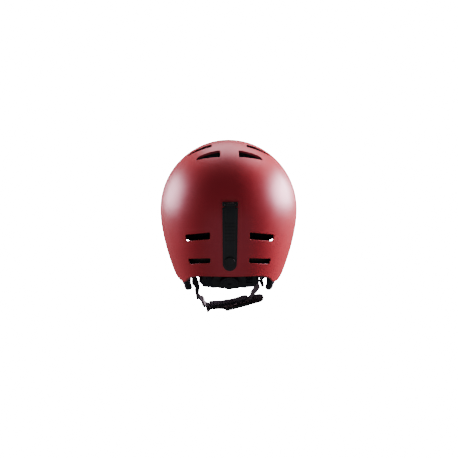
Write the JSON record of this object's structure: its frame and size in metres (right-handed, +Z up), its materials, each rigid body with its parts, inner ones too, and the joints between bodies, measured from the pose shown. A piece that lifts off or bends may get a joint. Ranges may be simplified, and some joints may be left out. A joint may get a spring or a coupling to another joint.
{
  "type": "ski helmet",
  "caption": "Hard-shell ski helmet with slot vents, soft ear pads, a rear goggle retainer, a nape dial fit system and a padded chin strap with a slide-out buckle.",
  "frame": {"origin": "centre of the head opening, level with the shell's lower rim at the nape", "axes": "+Y the way the wearer faces, +X the wearer's right, +Z up through the crown"},
  "size_m": [0.2172, 0.2735, 0.279],
  "materials": {
    "shell_red": "satin",
    "foam_black": "matte",
    "lining_fabric": "matte",
    "pad_fabric": "matte",
    "hook_fabric": "matte",
    "ear_fabric": "matte",
    "chin_fabric": "matte",
    "strap_rubber": "matte",
    "black_plastic": "satin",
    "dial_plastic": "satin",
    "band_plastic": "satin",
    "steel": "satin",
    "webbing": "matte",
    "buckle_plastic": "satin",
    "tab_rubber": "smooth",
    "magnet": "satin"
  },
  "bodies": {
    "helmet": {"outer_shell": "shell_red", "foam_liner": "foam_black", "fabric_lining": "lining_fabric", "crown_pad": "pad_fabric", "brow_pad": "pad_fabric", "side_pad_left": "pad_fabric", "side_pad_right": "pad_fabric", "hook_patches": "hook_fabric", "nape_pad": "pad_fabric", "goggle_bracket": "black_plastic", "goggle_pin": "steel", "snap_stud": "steel", "cradle_back": "black_plastic", "cradle_cover": "black_plastic", "cradle_screws": "steel", "cradle_hangers": "black_plastic", "hanger_studs": "black_plastic", "temple_studs": "black_plastic", "strap_leg_front_left": "webbing", "strap_leg_rear_left": "webbing", "strap_leg_front_right": "webbing", "strap_leg_rear_right": "webbing", "strap_anchors": "black_plastic"},
    "dial": {"dial_knob": "dial_plastic", "dial_pinion": "black_plastic", "dial_screw": "steel"},
    "rack_left": {"rack_left": "black_plastic", "band_left": "band_plastic"},
    "rack_right": {"rack_right": "black_plastic", "band_right": "band_plastic"},
    "goggle_clip": {"goggle_strap": "strap_rubber", "snap_cap": "black_plastic"},
    "ear_pad_left": {"ear_pad_left": "ear_fabric"},
    "ear_pad_right": {"ear_pad_right": "ear_fabric"},
    "chin_strap": {"divider_left": "black_plastic", "webbing_left": "webbing", "strap_tail": "webbing", "chin_pad": "chin_fabric", "buckle_catch": "buckle_plastic", "pull_tab": "tab_rubber", "catch_magnet": "magnet"},
    "strap_hub_right": {"divider_right": "black_plastic"},
    "buckle_tongue": {"webbing_right": "webbing", "buckle_tongue": "buckle_plastic", "tongue_magnet": "magnet"},
    "adjuster": {"strap_adjuster": "black_plastic"}
  },
  "joints": [
    {"name": "dial_turn", "type": "hinge", "parent": "helmet", "child": "dial", "pos_m": [0, -0.068, -0.008], "axis": [0, 0.682, 0.7314], "range_deg": [0, 85.9]},
    {"name": "rack_left_slide", "type": "slide", "parent": "helmet", "child": "rack_left", "axis": [1, 0, 0], "range_m": [0, 0.009], "deforming": ["band_left"]},
    {"name": "rack_right_slide", "type": "slide", "parent": "helmet", "child": "rack_right", "axis": [-1, 0, 0], "range_m": [0, 0.009], "deforming": ["band_right"]},
    {"name": "goggle_clip_lift", "type": "hinge", "parent": "helmet", "child": "goggle_clip", "pos_m": [0, -0.13363, 0.1136], "axis": [-1, 0, 0], "range_deg": [0, 100], "stiffness_Nm_per_rad": 0.05},
    {"name": "ear_pad_left_flex", "type": "hinge", "parent": "helmet", "child": "ear_pad_left", "pos_m": [-0.072, -0.028, -0.004], "axis": [-0.1584, 0.7391, 0.6547], "range_deg": [0, 8], "stiffness_Nm_per_rad": 0.3},
    {"name": "ear_pad_right_flex", "type": "hinge", "parent": "helmet", "child": "ear_pad_right", "pos_m": [0.072, -0.028, -0.004], "axis": [-0.1584, -0.7391, -0.6547], "range_deg": [0, 8], "stiffness_Nm_per_rad": 0.3},
    {"name": "chin_strap_swing", "type": "hinge", "parent": "helmet", "child": "chin_strap", "pos_m": [-0.05, 0.01, -0.0325], "axis": [0.9817, 0, 0.1906], "range_deg": [-25, 8], "stiffness_Nm_per_rad": 0.15},
    {"name": "strap_hub_right_swing", "type": "hinge", "parent": "helmet", "child": "strap_hub_right", "pos_m": [0.053, 0.01, -0.0125], "axis": [0.9817, 0, 0.1906], "range_deg": [-25, 8]},
    {"name": "buckle_release", "type": "hinge", "parent": "strap_hub_right", "child": "buckle_tongue", "pos_m": [0.053, 0.01, -0.0125], "axis": [0.2375, 0.6203, -0.7476], "range_deg": [0, 60]},
    {"name": "adjuster_slide", "type": "slide", "parent": "chin_strap", "child": "adjuster", "axis": [-0.5001, -0.5791, 0.6439], "range_m": [0, 0.005]}
  ],
  "couplings": [
    {"joint": "rack_left_slide", "follows": "dial_turn", "m_per_rad": 0.006},
    {"joint": "rack_right_slide", "follows": "dial_turn", "m_per_rad": 0.006},
    {"joint": "strap_hub_right_swing", "follows": "chin_strap_swing", "ratio": 1}
  ]
}
